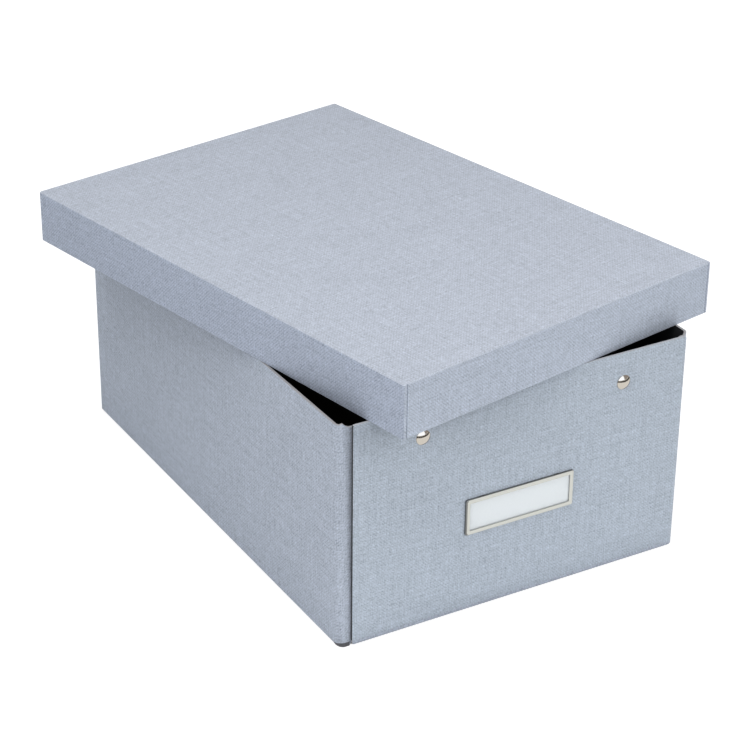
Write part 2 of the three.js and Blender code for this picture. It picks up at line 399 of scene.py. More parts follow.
def linen_paper(name, colour, streaks, twill_depth, twill, seed):
    material, tree, shader = new_material(name)
    where = add(tree, "ShaderNodeUVMap", uv_map=FLAT_MAP).outputs[0]
    weave = math_node(tree, "MULTIPLY", thread_sum(tree, where, seed), streaks)
    ribs = math_node(tree, "MULTIPLY", slanted_ribs(tree, where, twill, seed), twill_depth)
    cloud = stretched_noise(tree, where, CLOUD_SCALE, 2, 0.5, seed + CLOUD_SEED)
    clouds = math_node(tree, "MULTIPLY", math_node(tree, "SUBTRACT", cloud, 0.5), CLOUD_DEPTH)
    change = math_node(tree, "ADD", math_node(tree, "ADD", weave, clouds), 1.0)
    change = math_node(tree, "ADD", change, ribs)
    tint = add(tree, "ShaderNodeMix", data_type="RGBA", blend_type="MULTIPLY")
    tint.inputs[0].default_value = 1
    tint.inputs[6].default_value = (*colour, 1)
    tree.links.new(change, tint.inputs[7])
    tree.links.new(tint.outputs[2], shader.inputs["Base Color"])
    bump = add(tree, "ShaderNodeBump", Strength=0.25, Distance=EMBOSSING)
    tree.links.new(weave, bump.inputs["Height"])
    tree.links.new(bump.outputs[0], shader.inputs["Normal"])
    shader.inputs["Roughness"].default_value = 0.85
    shader.inputs["Specular IOR Level"].default_value = 0.3
    return material


case_paper = linen_paper("case_paper", (0.375, 0.416, 0.488), 0.56, 0.12, 1, 0.0)
panel_paper = linen_paper("panel_paper", (0.384, 0.434, 0.500), 0.49, 0.115, -1, 40.0)
lid_paper = linen_paper("lid_paper", (0.453, 0.490, 0.564), 0.48, 0.105, 1, 80.0)
skirt_paper = linen_paper("skirt_paper", (0.404, 0.449, 0.528), 0.46, 0.155, -1, 80.0)
# The long skirts get a darker, bluer copy of the paper, which paints their shade and weaker sheen.
skirt_side_shaded_paper = linen_paper("skirt_side_shaded_paper", (0.351, 0.394, 0.483), 0.54, 0.175, -1, 80.0)
print("five cuts of cover paper")

# %% [markdown]
# ## Lining, raw board and card
#
# The inside is lined with plain black paper. The cut edges show the grey pulp of the board. The
# near-black edges beside the slit are partly their own dark colour and partly painted shadow of the
# slit, and the dark arch under the corner fold is bare board darkened as painted shade. All are dull
# and slightly mottled, so one noise on the object's own coordinates is enough for each.

# %% Lining and board materials
def dull_sheet(name, colour, variation, scale, roughness):
    material, tree, shader = new_material(name)
    where = add(tree, "ShaderNodeTexCoord").outputs["Object"]
    noise = add(tree, "ShaderNodeTexNoise", Scale=scale, Detail=4)
    tree.links.new(where, noise.inputs["Vector"])
    ramp = add(tree, "ShaderNodeMix", data_type="RGBA")
    ramp.inputs[6].default_value = (*[c * (1 - variation) for c in colour], 1)
    ramp.inputs[7].default_value = (*[c * (1 + variation) for c in colour], 1)
    tree.links.new(noise.outputs[0], ramp.inputs[0])
    tree.links.new(ramp.outputs[2], shader.inputs["Base Color"])
    bump = add(tree, "ShaderNodeBump", Strength=0.2, Distance=0.1 * MM)
    tree.links.new(noise.outputs[0], bump.inputs["Height"])
    tree.links.new(bump.outputs[0], shader.inputs["Normal"])
    shader.inputs["Roughness"].default_value = roughness
    shader.inputs["Specular IOR Level"].default_value = 0.25
    return material


black_lining = dull_sheet("black_lining", (0.012, 0.012, 0.013), 0.4, 900, 0.8)
raw_board = dull_sheet("raw_board", (0.345, 0.34, 0.35), 0.25, 2500, 0.9)
panel_board = dull_sheet("panel_board", (0.44, 0.45, 0.48), 0.15, 2500, 0.9)
# Near black for the slit's edges: partly their own colour, partly painted shadow of the slit.
slit_shadow_board = dull_sheet("slit_shadow_board", (0.045, 0.046, 0.05), 0.15, 2500, 0.9)
# Dark grey for the arch under the corner fold: bare board, darkened further as painted shade.
corner_shadow_board = dull_sheet("corner_shadow_board", (0.10, 0.10, 0.11), 0.3, 2500, 0.9)
white_card = dull_sheet("white_card", (0.70, 0.74, 0.76), 0.02, 600, 0.7)
print("lining, four kinds of board edge, and card")

# %% [markdown]
# ## Nickel-plated metal
#
# The label frame is satin bright with a warm tone. Its sides take a dark copy of the metal, which
# paints in their shade and dark reflections. The caps of the press studs are polished. Their inner
# pieces are plain plated steel. Only the roughness varies, in fine specks, as on barrel-plated goods.

# %% Metal materials
def plated_metal(name, colour, low_roughness, high_roughness):
    material, tree, shader = new_material(name)
    where = add(tree, "ShaderNodeTexCoord").outputs["Object"]
    noise = add(tree, "ShaderNodeTexNoise", Scale=1500, Detail=3)
    tree.links.new(where, noise.inputs["Vector"])
    spread = add(tree, "ShaderNodeMapRange")
    spread.inputs["To Min"].default_value = low_roughness
    spread.inputs["To Max"].default_value = high_roughness
    tree.links.new(noise.outputs[0], spread.inputs["Value"])
    tree.links.new(spread.outputs[0], shader.inputs["Roughness"])
    shader.inputs["Base Color"].default_value = (*colour, 1)
    shader.inputs["Metallic"].default_value = 1
    return material


frame_metal = plated_metal("frame_metal", (0.56, 0.562, 0.52), 0.25, 0.38)
# The frame's sides get a dark copy of the metal, which paints their shade and dark reflections.
frame_side_shaded_metal = plated_metal("frame_side_shaded_metal", (0.21, 0.21, 0.20), 0.3, 0.45)
cap_metal = plated_metal("cap_metal", (0.52, 0.48, 0.42), 0.06, 0.14)
inner_metal = plated_metal("inner_metal", (0.62, 0.61, 0.58), 0.3, 0.45)
print("four metal finishes")

# %% [markdown]
# ## The blank of the case
#
# The blank is a cross: the base in the middle, a long wall on each side, a corner flap at each end
# of each wall, and a tongue at each end that only reaches up to the end panel's score line. Each
# length in it is the finished length less the fold's radius, plus what the fold takes up.

# %% Case blank
bottom_allowance = fold_allowance(BOTTOM_FOLD, FOLD_STEPS)
corner_allowance = fold_allowance(CORNER_FOLD, FOLD_STEPS)
wall_line = side_face - BOTTOM_FOLD
flap_line = flap_face - CORNER_FOLD
tongue_line = end_face - BOTTOM_FOLD
wall_foot = wall_line + bottom_allowance
wall_top = wall_foot + rim - BOTTOM_FOLD
flap_end = flap_line + corner_allowance + FLAP_LENGTH - CORNER_FOLD
tongue_end = tongue_line + bottom_allowance + score_height - BOTTOM_FOLD


def in_panel(co):
    return panel_low.x - NEAR < co.x < panel_high.x + NEAR


bm = bmesh.new()
rectangle(bm, -wall_line, wall_line, -flap_line, flap_line)
for x in (panel_low.x, panel_high.x):
    cut(bm, lambda co: True, Vector((x, 0, 0)), Vector((1, 0, 0)))
for end in (FRONT, BACK):
    edges = edges_where(bm, lambda co: near(co.y, end * flap_line) and in_panel(co))
    pull(bm, edges, (0, end * (tongue_end - flap_line), 0))
for side in (LEFT, RIGHT):
    edges = edges_where(bm, lambda co: near(co.x, side * wall_line))
    pull(bm, edges, (side * (wall_foot - wall_line), 0, 0))
    edges = edges_where(bm, lambda co: near(co.x, side * wall_foot))
    pull(bm, edges, (side * (wall_top - wall_foot), 0, 0))
    for end in (FRONT, BACK):
        edges = edges_where(
            bm, lambda co: near(co.y, end * flap_line) and side * co.x > wall_foot - NEAR
        )
        pull(bm, edges, (0, end * (flap_end - flap_line), 0))
print("case blank", len(bm.faces), "faces")

# %% [markdown]
# ## The tops of the corner flaps
#
# A flap is trimmed a little lower than the wall, so that it stays hidden behind the end panel. The
# knife starts its slope in the corner fold, and on the left it leaves a small peak there. So each
# flap gets a few cuts across it, and then the points on its top edge move. The free corners of the
# flaps are rounded, because a pointed one would catch on papers.

# %% Trim the flaps
FLAP_TOP = [
    (0.5 * corner_allowance, 0.0),
    (0.8 * corner_allowance, 0.9 * MM),
    (corner_allowance + 1 * MM, -1.3 * MM),
    (corner_allowance + 3 * MM, -2.2 * MM),
    (corner_allowance + 6 * MM, -2.4 * MM),
]
RIGHT_START = -1.3 * MM

for end in (FRONT, BACK):
    for distance, _ in FLAP_TOP:
        level = Vector((0, end * (flap_line + distance), 0))
        cut(bm, lambda co: end * co.y > flap_line, level, Vector((0, 1, 0)))
for vert in bm.verts:
    distance = abs(vert.co.y) - flap_line
    if near(abs(vert.co.x), wall_top) and distance > NEAR:
        rise = min(FLAP_TOP, key=lambda point: abs(point[0] - distance))[1]
        if vert.co.x > 0 and rise > 0:
            rise = RIGHT_START
        vert.co.x += math.copysign(1, vert.co.x) * rise
free_corners = [vert for vert in bm.verts if near(abs(vert.co.y), flap_end)]
bmesh.ops.bevel(
    bm, geom=free_corners, offset=FLAP_TRIM, offset_type="OFFSET", segments=6,
    profile=0.5, affect="VERTICES", material=-1,
)
print("outer normals down:", all(face.normal.z < 0 for face in bm.faces))

# %% [markdown]
# ## Holes for the studs
#
# Each press stud is riveted through a corner flap by a small post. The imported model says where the
# studs stand on the finished box. While the flaps are flat, the same places are found by unrolling:
# along the sheet, a place lies its distance past the fold, plus what the fold takes up.

# %% Punch the post holes
POST_HOLE = 1.25 * MM

cap_places = {}
for end_word in ("front", "back"):
    for side_word in ("left", "right"):
        low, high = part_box(f"snap_cap_{end_word}_{side_word}")
        cap_places[end_word, side_word] = (low + high) / 2
for (end_word, side_word), place in cap_places.items():
    outward = RIGHT if side_word == "right" else LEFT
    towards = BACK if end_word == "back" else FRONT
    flat_x = outward * (wall_foot + place.z - BOTTOM_FOLD)
    flat_y = towards * (flap_line + corner_allowance + side_face - CORNER_FOLD - abs(place.x))
    punch(bm, (flat_x, flat_y), POST_HOLE)
bm.normal_update()
print("four post holes, studs at x", [round(p.x / MM, 1) for p in cap_places.values()])

# %% [markdown]
# ## Folding the case
#
# The flaps fold first, then the walls, and last the tongues, as by hand. The flat map is stored just
# before, while the sheet still lies as it was printed.

# %% Fold the case
keep_flat_map(bm)
for end in (FRONT, BACK):
    past = lambda co: end * co.y > flap_line - NEAR and abs(co.x) > wall_foot - NEAR
    fold_up(bm, past, flap_line, (0, end, 0), CORNER_FOLD, FOLD_STEPS)
for side in (LEFT, RIGHT):
    past = lambda co: side * co.x > wall_line - NEAR
    fold_up(bm, past, wall_line, (side, 0, 0), BOTTOM_FOLD, FOLD_STEPS)
for end in (FRONT, BACK):
    past = lambda co: end * co.y > tongue_line - NEAR and co.z < NEAR and in_panel(co)
    fold_up(bm, past, tongue_line, (0, end, 0), BOTTOM_FOLD, FOLD_STEPS)
print("folded case", len(bm.faces), "faces, rim at", round(max(v.co.z for v in bm.verts) / MM, 1), "mm")

# %% [markdown]
# ## The foot of the corner
#
# The end panels sit a few millimetres to the right, so a slit stays open on the left. There the foot
# of the corner fold shows. On the real box it bulges forward, hangs lower than the rest of the fold,
# and ends in a small arch with shade in the gap under it. A cut just above the foot gives the arch its
# upper line, and the points of both lines move by how far round the corner they are. The tongue beside
# it tapers towards the table, as its sides are trimmed to clear the folds.

# %% Shape the foot and the tongues
FOOT_DROP = 2.9 * MM
FOOT_FORWARD = 1.3 * MM
ARCH_TOP = 3.1 * MM
ARCH_DROP = 1.0 * MM
TONGUE_TRIM = 2.4 * MM
TONGUE_CURVE = 1.5


def beside_slit(co):
    """The corner fold on the side where the end panels leave a slit open."""
    return co.x < panel_low.x - 0.5 * MM and abs(co.y) > flap_line + NEAR


cut(bm, beside_slit, Vector((0, 0, ARCH_TOP)), UP)
for vert in bm.verts:
    round_way = max(0, min(1, (abs(vert.co.y) - flap_line) / CORNER_FOLD))
    at_foot = near(vert.co.z, BOTTOM_FOLD, 10 * NEAR)
    at_arch = near(vert.co.z, ARCH_TOP, 10 * NEAR)
    if beside_slit(vert.co) and (at_foot or at_arch):
        drop = FOOT_DROP * math.sqrt(round_way) if at_foot else ARCH_DROP * (1 - round_way)
        vert.co.z -= drop
        vert.co.y += math.copysign(FOOT_FORWARD * round_way, vert.co.y)
    tongue_side = near(vert.co.x, panel_low.x) or near(vert.co.x, panel_high.x)
    if tongue_side and abs(vert.co.y) > tongue_line - NEAR and vert.co.z < BOTTOM_FOLD:
        low_way = 1 - vert.co.z / BOTTOM_FOLD
        vert.co.x -= math.copysign(TONGUE_TRIM * low_way**TONGUE_CURVE, vert.co.x)
print("lowest point of the foot", round(min(v.co.z for v in bm.verts if beside_slit(v.co)) / MM, 2), "mm")

# %% [markdown]
# ## The case as board
#
# Now the sheet gets its thickness. The faces of the arch at the foot of the corner take a dark board
# colour: bare board, darkened further as painted shade of the gap under the fold. Only edges well
# above the table are softened, because the bottom folds are round already.

# %% Thicken the case
ARCH_SHADOW_FACE = 3
FOOT_HEIGHT = 5 * MM
EDGE_ROUND = 0.25 * MM


def above_foot(edge):
    return max(vert.co.z for vert in edge.verts) > FOOT_HEIGHT


thicken(bm, BOARD)
# The arch's faces take the dark board, which paints the shade in the gap under the fold.
for face in bm.faces:
    middle = face.calc_center_median()
    if face.material_index == PAPER_FACE and beside_slit(middle) and middle.z < ARCH_TOP:
        face.material_index = ARCH_SHADOW_FACE
soften(bm, above_foot, EDGE_ROUND)
finish_piece(
    bm, "case_sheet", "case", "case", (case_paper, black_lining, raw_board, corner_shadow_board)
)

# %% [markdown]
# ## The blank of an end panel
#
# Each end panel is the same sheet as the base, folded up last. It turns on its own score line, so it
# is a piece of its own here, and it meets the fold of the base in one plane without a line. The
# sockets of the press studs go through round holes, and the label frame's prongs through four slits.
# The blank is drawn flat and turned upright as a whole, which is exact and keeps its flat map.

# %% Panel maker
SOCKET_HOLE = 3.0 * MM
PANEL_CORNER = 1.2 * MM
SLIT = (3.2 * MM, 0.7 * MM)


def make_panel(end, slits):
    """Drawn flat with z as y, so that the outer face is down."""
    bm = bmesh.new()
    mirror = 1 if end == FRONT else -1
    left, right = sorted((mirror * panel_low.x, mirror * panel_high.x))
    rectangle(bm, left, right, score_height, rim)
    top = [vert for vert in bm.verts if vert.co.y > rim - NEAR]
    bmesh.ops.bevel(
        bm, geom=top, offset=PANEL_CORNER, offset_type="OFFSET", segments=4,
        profile=0.5, affect="VERTICES", material=-1,
    )
    end_word = "front" if end == FRONT else "back"
    for side_word in ("left", "right"):
        place = cap_places[end_word, side_word]
        punch(bm, (mirror * place.x, place.z), SOCKET_HOLE)
    for x, z in slits:
        cut_out(bm, (x, z), SLIT)
    keep_flat_map(bm)
    bm.normal_update()
    return bm


def stand_on_end(bm, end):
    """Turns a flat blank up so that its lower face looks out of one end of the box."""
    turn = Matrix.Rotation(math.pi / 2, 4, "X")
    if end == BACK:
        turn = Matrix.Rotation(math.pi, 4, "Z") @ turn
    bmesh.ops.transform(bm, matrix=turn, verts=bm.verts)
    bmesh.ops.translate(bm, verts=bm.verts, vec=(0, end * end_face, 0))


print("socket holes", round(2 * SOCKET_HOLE / MM, 1), "mm across")

# %% [markdown]
# ## Both panels
#
# The front panel has the slits for the label frame, the back one has none. The paper wraps round
# their upright edges, which take a near-black colour that is partly their own and partly painted
# shadow of the slit, so those edges are darker than the top one.

# %% Make both panels
SLIT_SHADOW_FACE = 3
FRAME_METAL = 0.5 * MM
PRONG_WIDTH = 3 * MM
PRONG_INSET = 12 * MM

frame_low, frame_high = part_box("label_frame")
prong_xs = (frame_low.x + PRONG_INSET, frame_high.x - PRONG_INSET)
prong_zs = (frame_low.z + FRAME_METAL / 2, frame_high.z - FRAME_METAL / 2)
front_slits = [(x, z) for x in prong_xs for z in prong_zs]
for body, end, slits in (("front_panel", FRONT, front_slits), ("back_panel", BACK, [])):
    bm = make_panel(end, slits)
    bmesh.ops.reverse_faces(bm, faces=bm.faces[:])
    stand_on_end(bm, end)
    thicken(bm, BOARD)
    # Upright cut edges take the near-black board, partly painted shadow of the slit.
    for face in bm.faces:
        if face.material_index == CUT_FACE and abs(face.normal.x) > 0.7:
            face.material_index = SLIT_SHADOW_FACE
    soften(bm, above_foot, EDGE_ROUND)
    finishes = (panel_paper, black_lining, panel_board, slit_shadow_board)
    finish_piece(bm, f"{body}_sheet", body, body, finishes)

# %% [markdown]
# ## The size of the lid
#
# The lid lies turned on the rim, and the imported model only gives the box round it. The turned width
# and length add up to that box by the cosine and sine of the turn, apart from the rounded corners,
# which don't turn. Two such sums give back the lid's own width and length.

# %% Measure the lid
LID_TURN = math.radians(11.15)
LID_CORNER = 1.6 * MM
LID_EDGE = 1.2 * MM
LID_BOARD = 2.2 * MM

lid_height = lid_high.z - lid_low.z
lid_middle = (lid_low + lid_high) / 2
cosine = math.cos(LID_TURN)
sine = math.sin(LID_TURN)
reach_x = lid_high.x - lid_low.x - 2 * LID_CORNER
reach_y = lid_high.y - lid_low.y - 2 * LID_CORNER
lid_width = (reach_x * cosine - reach_y * sine) / (cosine**2 - sine**2) + 2 * LID_CORNER
lid_length = (reach_y * cosine - reach_x * sine) / (cosine**2 - sine**2) + 2 * LID_CORNER
print("lid", round(lid_width / MM, 1), "by", round(lid_length / MM, 1), "mm")

# %% [markdown]
# ## The lid's tray
#
# The lid is a stiff tray upside down. Its corners are rounded just as much as the paper wraps round
# them, so it starts as a block, its upright edges are bevelled, it loses its bottom, and last its
# top edges are bevelled. Bevelling in this order gives even, round corners at the top.

# %% Lid tray
bm = bmesh.new()
block = Matrix.Diagonal((lid_width, lid_length, lid_height, 1))
bmesh.ops.create_cube(bm, size=1, matrix=block)
upright = [edge for edge in bm.edges if abs(edge.verts[0].co.z - edge.verts[1].co.z) > MM]
bmesh.ops.bevel(
    bm, geom=upright, offset=LID_CORNER, offset_type="OFFSET", segments=5,
    profile=0.5, affect="EDGES", material=-1,
)
bottom = [face for face in bm.faces if face.normal.z < -0.5]
bmesh.ops.delete(bm, geom=bottom, context="FACES")
top = edges_where(bm, lambda co: co.z > lid_height / 2 - NEAR)
bmesh.ops.bevel(
    bm, geom=top, offset=LID_EDGE, offset_type="OFFSET", segments=4,
    profile=0.5, affect="EDGES", material=-1,
)
print("tray skin", len(bm.faces), "faces")

# %% [markdown]
# ## The lid's seams
#
# At each corner the paper of the long side is wrapped a few millimetres round onto the short side
# and ends there. Its end shows as a fine upright line. Three close cuts beside the corner make it,
# and the middle one moves in.

# %% Seams at the lid's corners
SEAM_FROM_CORNER = 2.6 * MM
SEAM_WIDTH = 0.6 * MM
SEAM_DEPTH = 0.6 * MM

for side in (LEFT, RIGHT):
    seam = side * (lid_width / 2 - SEAM_FROM_CORNER)
    for x in (seam - SEAM_WIDTH / 2, seam, seam + SEAM_WIDTH / 2):
        cut(bm, lambda co: True, Vector((x, 0, 0)), Vector((1, 0, 0)))
    for vert in bm.verts:
        if near(vert.co.x, seam) and abs(vert.co.y) > lid_length / 2 - LID_EDGE / 2:
            vert.co.y -= math.copysign(SEAM_DEPTH, vert.co.y)
print("four seams", round(SEAM_FROM_CORNER / MM, 1), "mm from the corners")

# %% [markdown]
# ## The lid's paper
#
# The flat map of the tray is its paper pulled flat: the top as it lies, and each skirt turned out
# from it. The short skirts, the long skirts and the top have cuts of paper of their own, and the long
# skirts' darker cut is painted shade. The bottom edge of the skirt is covered too, so no raw board
# shows. The tray is made square to the axes, and is turned and moved to its place on the rim last.

# %% Cover and place the lid
SKIRT_SIDE_SHADED_FACE = 2
SKIRT_FACE = 3
LID_EDGE_ROUND = 0.4 * MM


def unwrap_tray(bm, half_width, half_length, height):
    layer = bm.loops.layers.uv.new(FLAT_MAP)
    for face in bm.faces:
        normal = face.normal
        for loop in face.loops:
            co = loop.vert.co
            drop = height / 2 - co.z
            if abs(normal.x) > max(abs(normal.y), abs(normal.z)):
                loop[layer].uv = (math.copysign(half_width + drop, normal.x), co.y)
            elif abs(normal.y) > abs(normal.z):
                loop[layer].uv = (co.x, math.copysign(half_length + drop, normal.y))
            else:
                loop[layer].uv = (co.x, co.y)


bm.normal_update()
unwrap_tray(bm, lid_width / 2, lid_length / 2, lid_height)
thicken(bm, LID_BOARD)
# The long skirts take the darker copy of the paper, as painted shade.
for face in bm.faces:
    if face.material_index != LINING_FACE and abs(face.normal.z) < 0.5:
        short_side = abs(face.normal.y) > abs(face.normal.x)
        face.material_index = SKIRT_FACE if short_side else SKIRT_SIDE_SHADED_FACE
soften(bm, lambda edge: max(v.co.z for v in edge.verts) < -lid_height / 2 + MM, LID_EDGE_ROUND)
place = Matrix.Translation(lid_middle) @ Matrix.Rotation(LID_TURN, 4, "Z")
bmesh.ops.transform(bm, matrix=place, verts=bm.verts)
finishes = (lid_paper, black_lining, skirt_side_shaded_paper, skirt_paper)
finish_piece(bm, "lid_tray", "lid", "lid", finishes)

# %% [markdown]
# ## The label frame
#
# The frame is stamped from thin sheet: a low wall on the panel that rolls over into a flat lip round
# the window, and four prongs that go through the panel and are bent over behind it. Its section is
# the same all the way round, so each point of the section becomes one rounded outline, and
# neighbouring outlines are joined by a band of faces. The bands of the wall, and the rolled edge at
# the left end, take the dark side metal, which paints their shade and dark reflections.

# %% Frame outlines and bands
FRAME_FACE = 0
FRAME_SHADED_SIDE_FACE = 1
LEFT_END = 2 * MM
FRAME_SECTION = [
    (0, 0, 1.2), (0, 1.2, 1.2), (0.22, 1.42, 1.05), (0.9, 1.5, 0.9), (2.6, 1.5, 0.9),
    (2.75, 1.45, 0.75), (2.8, 1.35, 0.7), (2.75, 1.2, 0.7), (0.5, 1.2, 0.7), (0.5, 0, 0.7),
]
frame_size = (frame_high.x - frame_low.x, frame_high.z - frame_low.z)


def rounded_outline(width, height, radius, steps=6):
    """Points round a rectangle with rounded corners, always in the same order."""
    points = []
    for quarter, (right, up) in enumerate(((1, 1), (-1, 1), (-1, -1), (1, -1))):
        for step in range(steps + 1):
            angle = math.pi / 2 * (quarter + step / steps)
            x = right * (width / 2 - radius) + radius * math.cos(angle)
            y = up * (height / 2 - radius) + radius * math.sin(angle)
            points.append((x, y))
    return points


bm = bmesh.new()
rings = []
for inset, level, radius in FRAME_SECTION:
    width = frame_size[0] - 2 * inset * MM
    height = frame_size[1] - 2 * inset * MM
    outline = rounded_outline(width, height, radius * MM)
    rings.append([bm.verts.new((x, y, level * MM)) for x, y in outline])
for first, second in zip(rings, rings[1:] + rings[:1]):
    for here in range(len(first)):
        before = here - 1
        face = bm.faces.new((first[before], first[here], second[here], second[before]))
        at_left_end = face.calc_center_median().x < LEFT_END - frame_size[0] / 2
        # The wall's bands and the rolled left end take the dark metal, as painted shade.
        shaded_side = first in rings[:2] or (first is rings[2] and at_left_end)
        face.material_index = FRAME_SHADED_SIDE_FACE if shaded_side else FRAME_FACE
print("frame", len(rings), "outlines,", len(bm.faces), "faces")

# %% [markdown]
# ## The frame's prongs
#
# Each prong is an L of the same thin metal. It is drawn as one face, pulled to its width, and hooks
# behind the panel. Then the whole frame is turned upright and moved onto the panel's face.

# %% Prongs, and the frame's place
PRONG_LEG = 4 * MM
PRONG_ROOT = 1 * MM
PRONG_BACK = -2.4 * MM

top_edge = frame_size[1] / 2
prong_front = PRONG_BACK + FRAME_METAL
PRONG = [
    (top_edge, PRONG_ROOT),
    (top_edge, PRONG_BACK),
    (top_edge - PRONG_LEG, PRONG_BACK),
    (top_edge - PRONG_LEG, prong_front),
    (top_edge - FRAME_METAL, prong_front),
    (top_edge - FRAME_METAL, PRONG_ROOT),
]
frame_x = (frame_low.x + frame_high.x) / 2
frame_z = (frame_low.z + frame_high.z) / 2
for x in prong_xs:
    for way in (-1, 1):
        start = x - frame_x - PRONG_WIDTH / 2
        face = bm.faces.new([bm.verts.new((start, way * y, level)) for y, level in PRONG])
        pulled = bmesh.ops.extrude_face_region(bm, geom=[face])["geom"]
        verts = [item for item in pulled if isinstance(item, bmesh.types.BMVert)]
        bmesh.ops.translate(bm, verts=verts, vec=(PRONG_WIDTH, 0, 0))
bmesh.ops.recalc_face_normals(bm, faces=bm.faces[:])
bmesh.ops.transform(bm, matrix=Matrix.Rotation(math.pi / 2, 4, "X"), verts=bm.verts)
bmesh.ops.translate(bm, verts=bm.verts, vec=(frame_x, -end_face, frame_z))
finishes = (frame_metal, frame_side_shaded_metal)
finish_piece(bm, "label_frame_metal", "front_panel", "label_frame", finishes)

# %% [markdown]
# ## The label card
#
# A plain white card slides in behind the frame's lip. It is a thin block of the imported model's size,
# with its edges just broken. A sheet this thin needs no folding, so a cube is the shortest way.

# %% Label card
CARD_ROUND = 0.08 * MM

card_low, card_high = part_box("label_card")
bm = bmesh.new()
size = card_high - card_low
place = Matrix.Translation((card_low + card_high) / 2)
bmesh.ops.create_cube(bm, size=1, matrix=place @ Matrix.Diagonal((*size, 1)))
soften(bm, lambda edge: True, CARD_ROUND)
finish_piece(bm, "label_card_sheet", "front_panel", "label_card", (white_card,))

# %% [markdown]
# ## Profiles of a press stud
#
# A press stud is four round pieces on one axis: the cap outside and the socket behind the panel hold
# each other through the board, and the stud and its post do the same on the corner flap. A round
# piece needs only half of its section. The lists give radius and height in millimetres, with height
# measured outwards from the panel's face. The cap's dome is a shallow arc of a sphere.

# %% Stud profiles
CAP_RADIUS = 4.85
CAP_RISE = 1.65
CAP_TOP = 2
DOME_STEPS = 10

cap_profile = [(0, -1.2), (1.5, -1.2), (1.5, -0.7), (1.0, -0.7), (1.0, 0), (CAP_RADIUS, 0)]
dome_radius = (CAP_RADIUS**2 + CAP_RISE**2) / (2 * CAP_RISE)
for step in range(DOME_STEPS + 1):
    angle = math.asin(CAP_RADIUS / dome_radius) * (1 - step / DOME_STEPS)
    height = CAP_TOP - dome_radius * (1 - math.cos(angle))
    cap_profile.append((dome_radius * math.sin(angle), height))
socket_profile = [
    (1.1, -0.6), (2.2, -0.6), (2.2, -2.1), (4.6, -2.1),
    (4.6, -1.6), (2.7, -1.6), (2.7, -0.1), (1.1, -0.1),
]
stud_profile = [
    (1.05, -3.2), (4.2, -3.2), (4.2, -2.7), (1.6, -2.7), (1.85, -2.0),
    (1.6, -1.5), (0, -1.5), (0, -2.0), (1.05, -2.0),
]
post_profile = [(0, -5.3), (4.2, -5.3), (4.2, -4.8), (0.95, -4.8), (0.95, -2.1), (0, -2.1)]
print("dome of radius", round(dome_radius, 1), "mm on a cap", 2 * CAP_RADIUS, "mm across")

# %% [markdown]
# ## Press studs
#
# The pieces could be cylinders joined together, but a real cap and socket are turned or pressed in
# one go. Spinning the profile a full turn gives the same smooth piece. One loop makes all four studs.

# %% Press studs
def turned(profile, name, body, node, material, place, end):
    """Spins [radius, height] points round the stud's axis, which points out of the box."""
    bm = bmesh.new()
    verts = [bm.verts.new((radius * MM, 0, height * MM)) for radius, height in profile]
    edges = [bm.edges.new(pair) for pair in zip(verts, verts[1:])]
    if profile[0][0] > 0:
        edges.append(bm.edges.new((verts[-1], verts[0])))
    bmesh.ops.spin(
        bm, geom=verts + edges, cent=(0, 0, 0), axis=(0, 0, 1), angle=2 * math.pi,
        steps=48, use_merge=True,
    )
    bmesh.ops.remove_doubles(bm, verts=bm.verts[:], dist=1e-7)
    bmesh.ops.recalc_face_normals(bm, faces=bm.faces[:])
    turn = Matrix.Rotation(math.pi / 2 * -end, 4, "X")
    bmesh.ops.transform(bm, matrix=turn, verts=bm.verts)
    bmesh.ops.translate(bm, verts=bm.verts, vec=(place.x, end * end_face, place.z))
    finish_piece(bm, name, body, node, (material,))


STUD_PIECES = [
    ("stud_cap", "snap_cap", "snap_metal", cap_metal, cap_profile),
    ("stud_socket", "snap_socket", "snap_inner_metal", inner_metal, socket_profile),
    ("stud_head", "snap_stud", "snap_inner_metal", inner_metal, stud_profile),
    ("stud_post", "snap_post", "snap_inner_metal", inner_metal, post_profile),
]
for (end_word, side_word), place in cap_places.items():
    end = FRONT if end_word == "front" else BACK
    where = f"{end_word}_{side_word}"
    for piece, node, slot, metal, profile in STUD_PIECES:
        body = f"{end_word}_panel" if piece in ("stud_cap", "stud_socket") else "case"
        turned(profile, f"{piece}_{where}", body, f"{node}_{where}", metal, place, end)

# %% [markdown]
# ## A floor that is white to the eye
#
# The box stands on a white table. If only light made the table white, the box would be lit far too
# much, so the table glows, but only towards the camera, a mirror or glass. Towards everything else it
# is a plain pale surface that passes light on. What the camera sees is a darker grey plus the glow,
# so the box's own shadow still shows faintly on it.

# %% Floor
FLOOR_HALF = 6
FLOOR_DROP = 0.2 * MM
FLOOR_GLOW = 0.88
BOUNCE_GREY = 0.88
SEEN_GREY = 0.3


def seen_directly(tree):
    """1 for the rays of the camera, mirrors and glass, and 0 for the rays that carry light."""
    light_path = add(tree, "ShaderNodeLightPath")
    camera_ray, glossy_ray, transmission_ray = (
        light_path.outputs[f"Is {kind} Ray"] for kind in ("Camera", "Glossy", "Transmission")
    )
    seen = math_node(tree, "MAXIMUM", camera_ray, glossy_ray)
    return math_node(tree, "MAXIMUM", seen, transmission_ray)


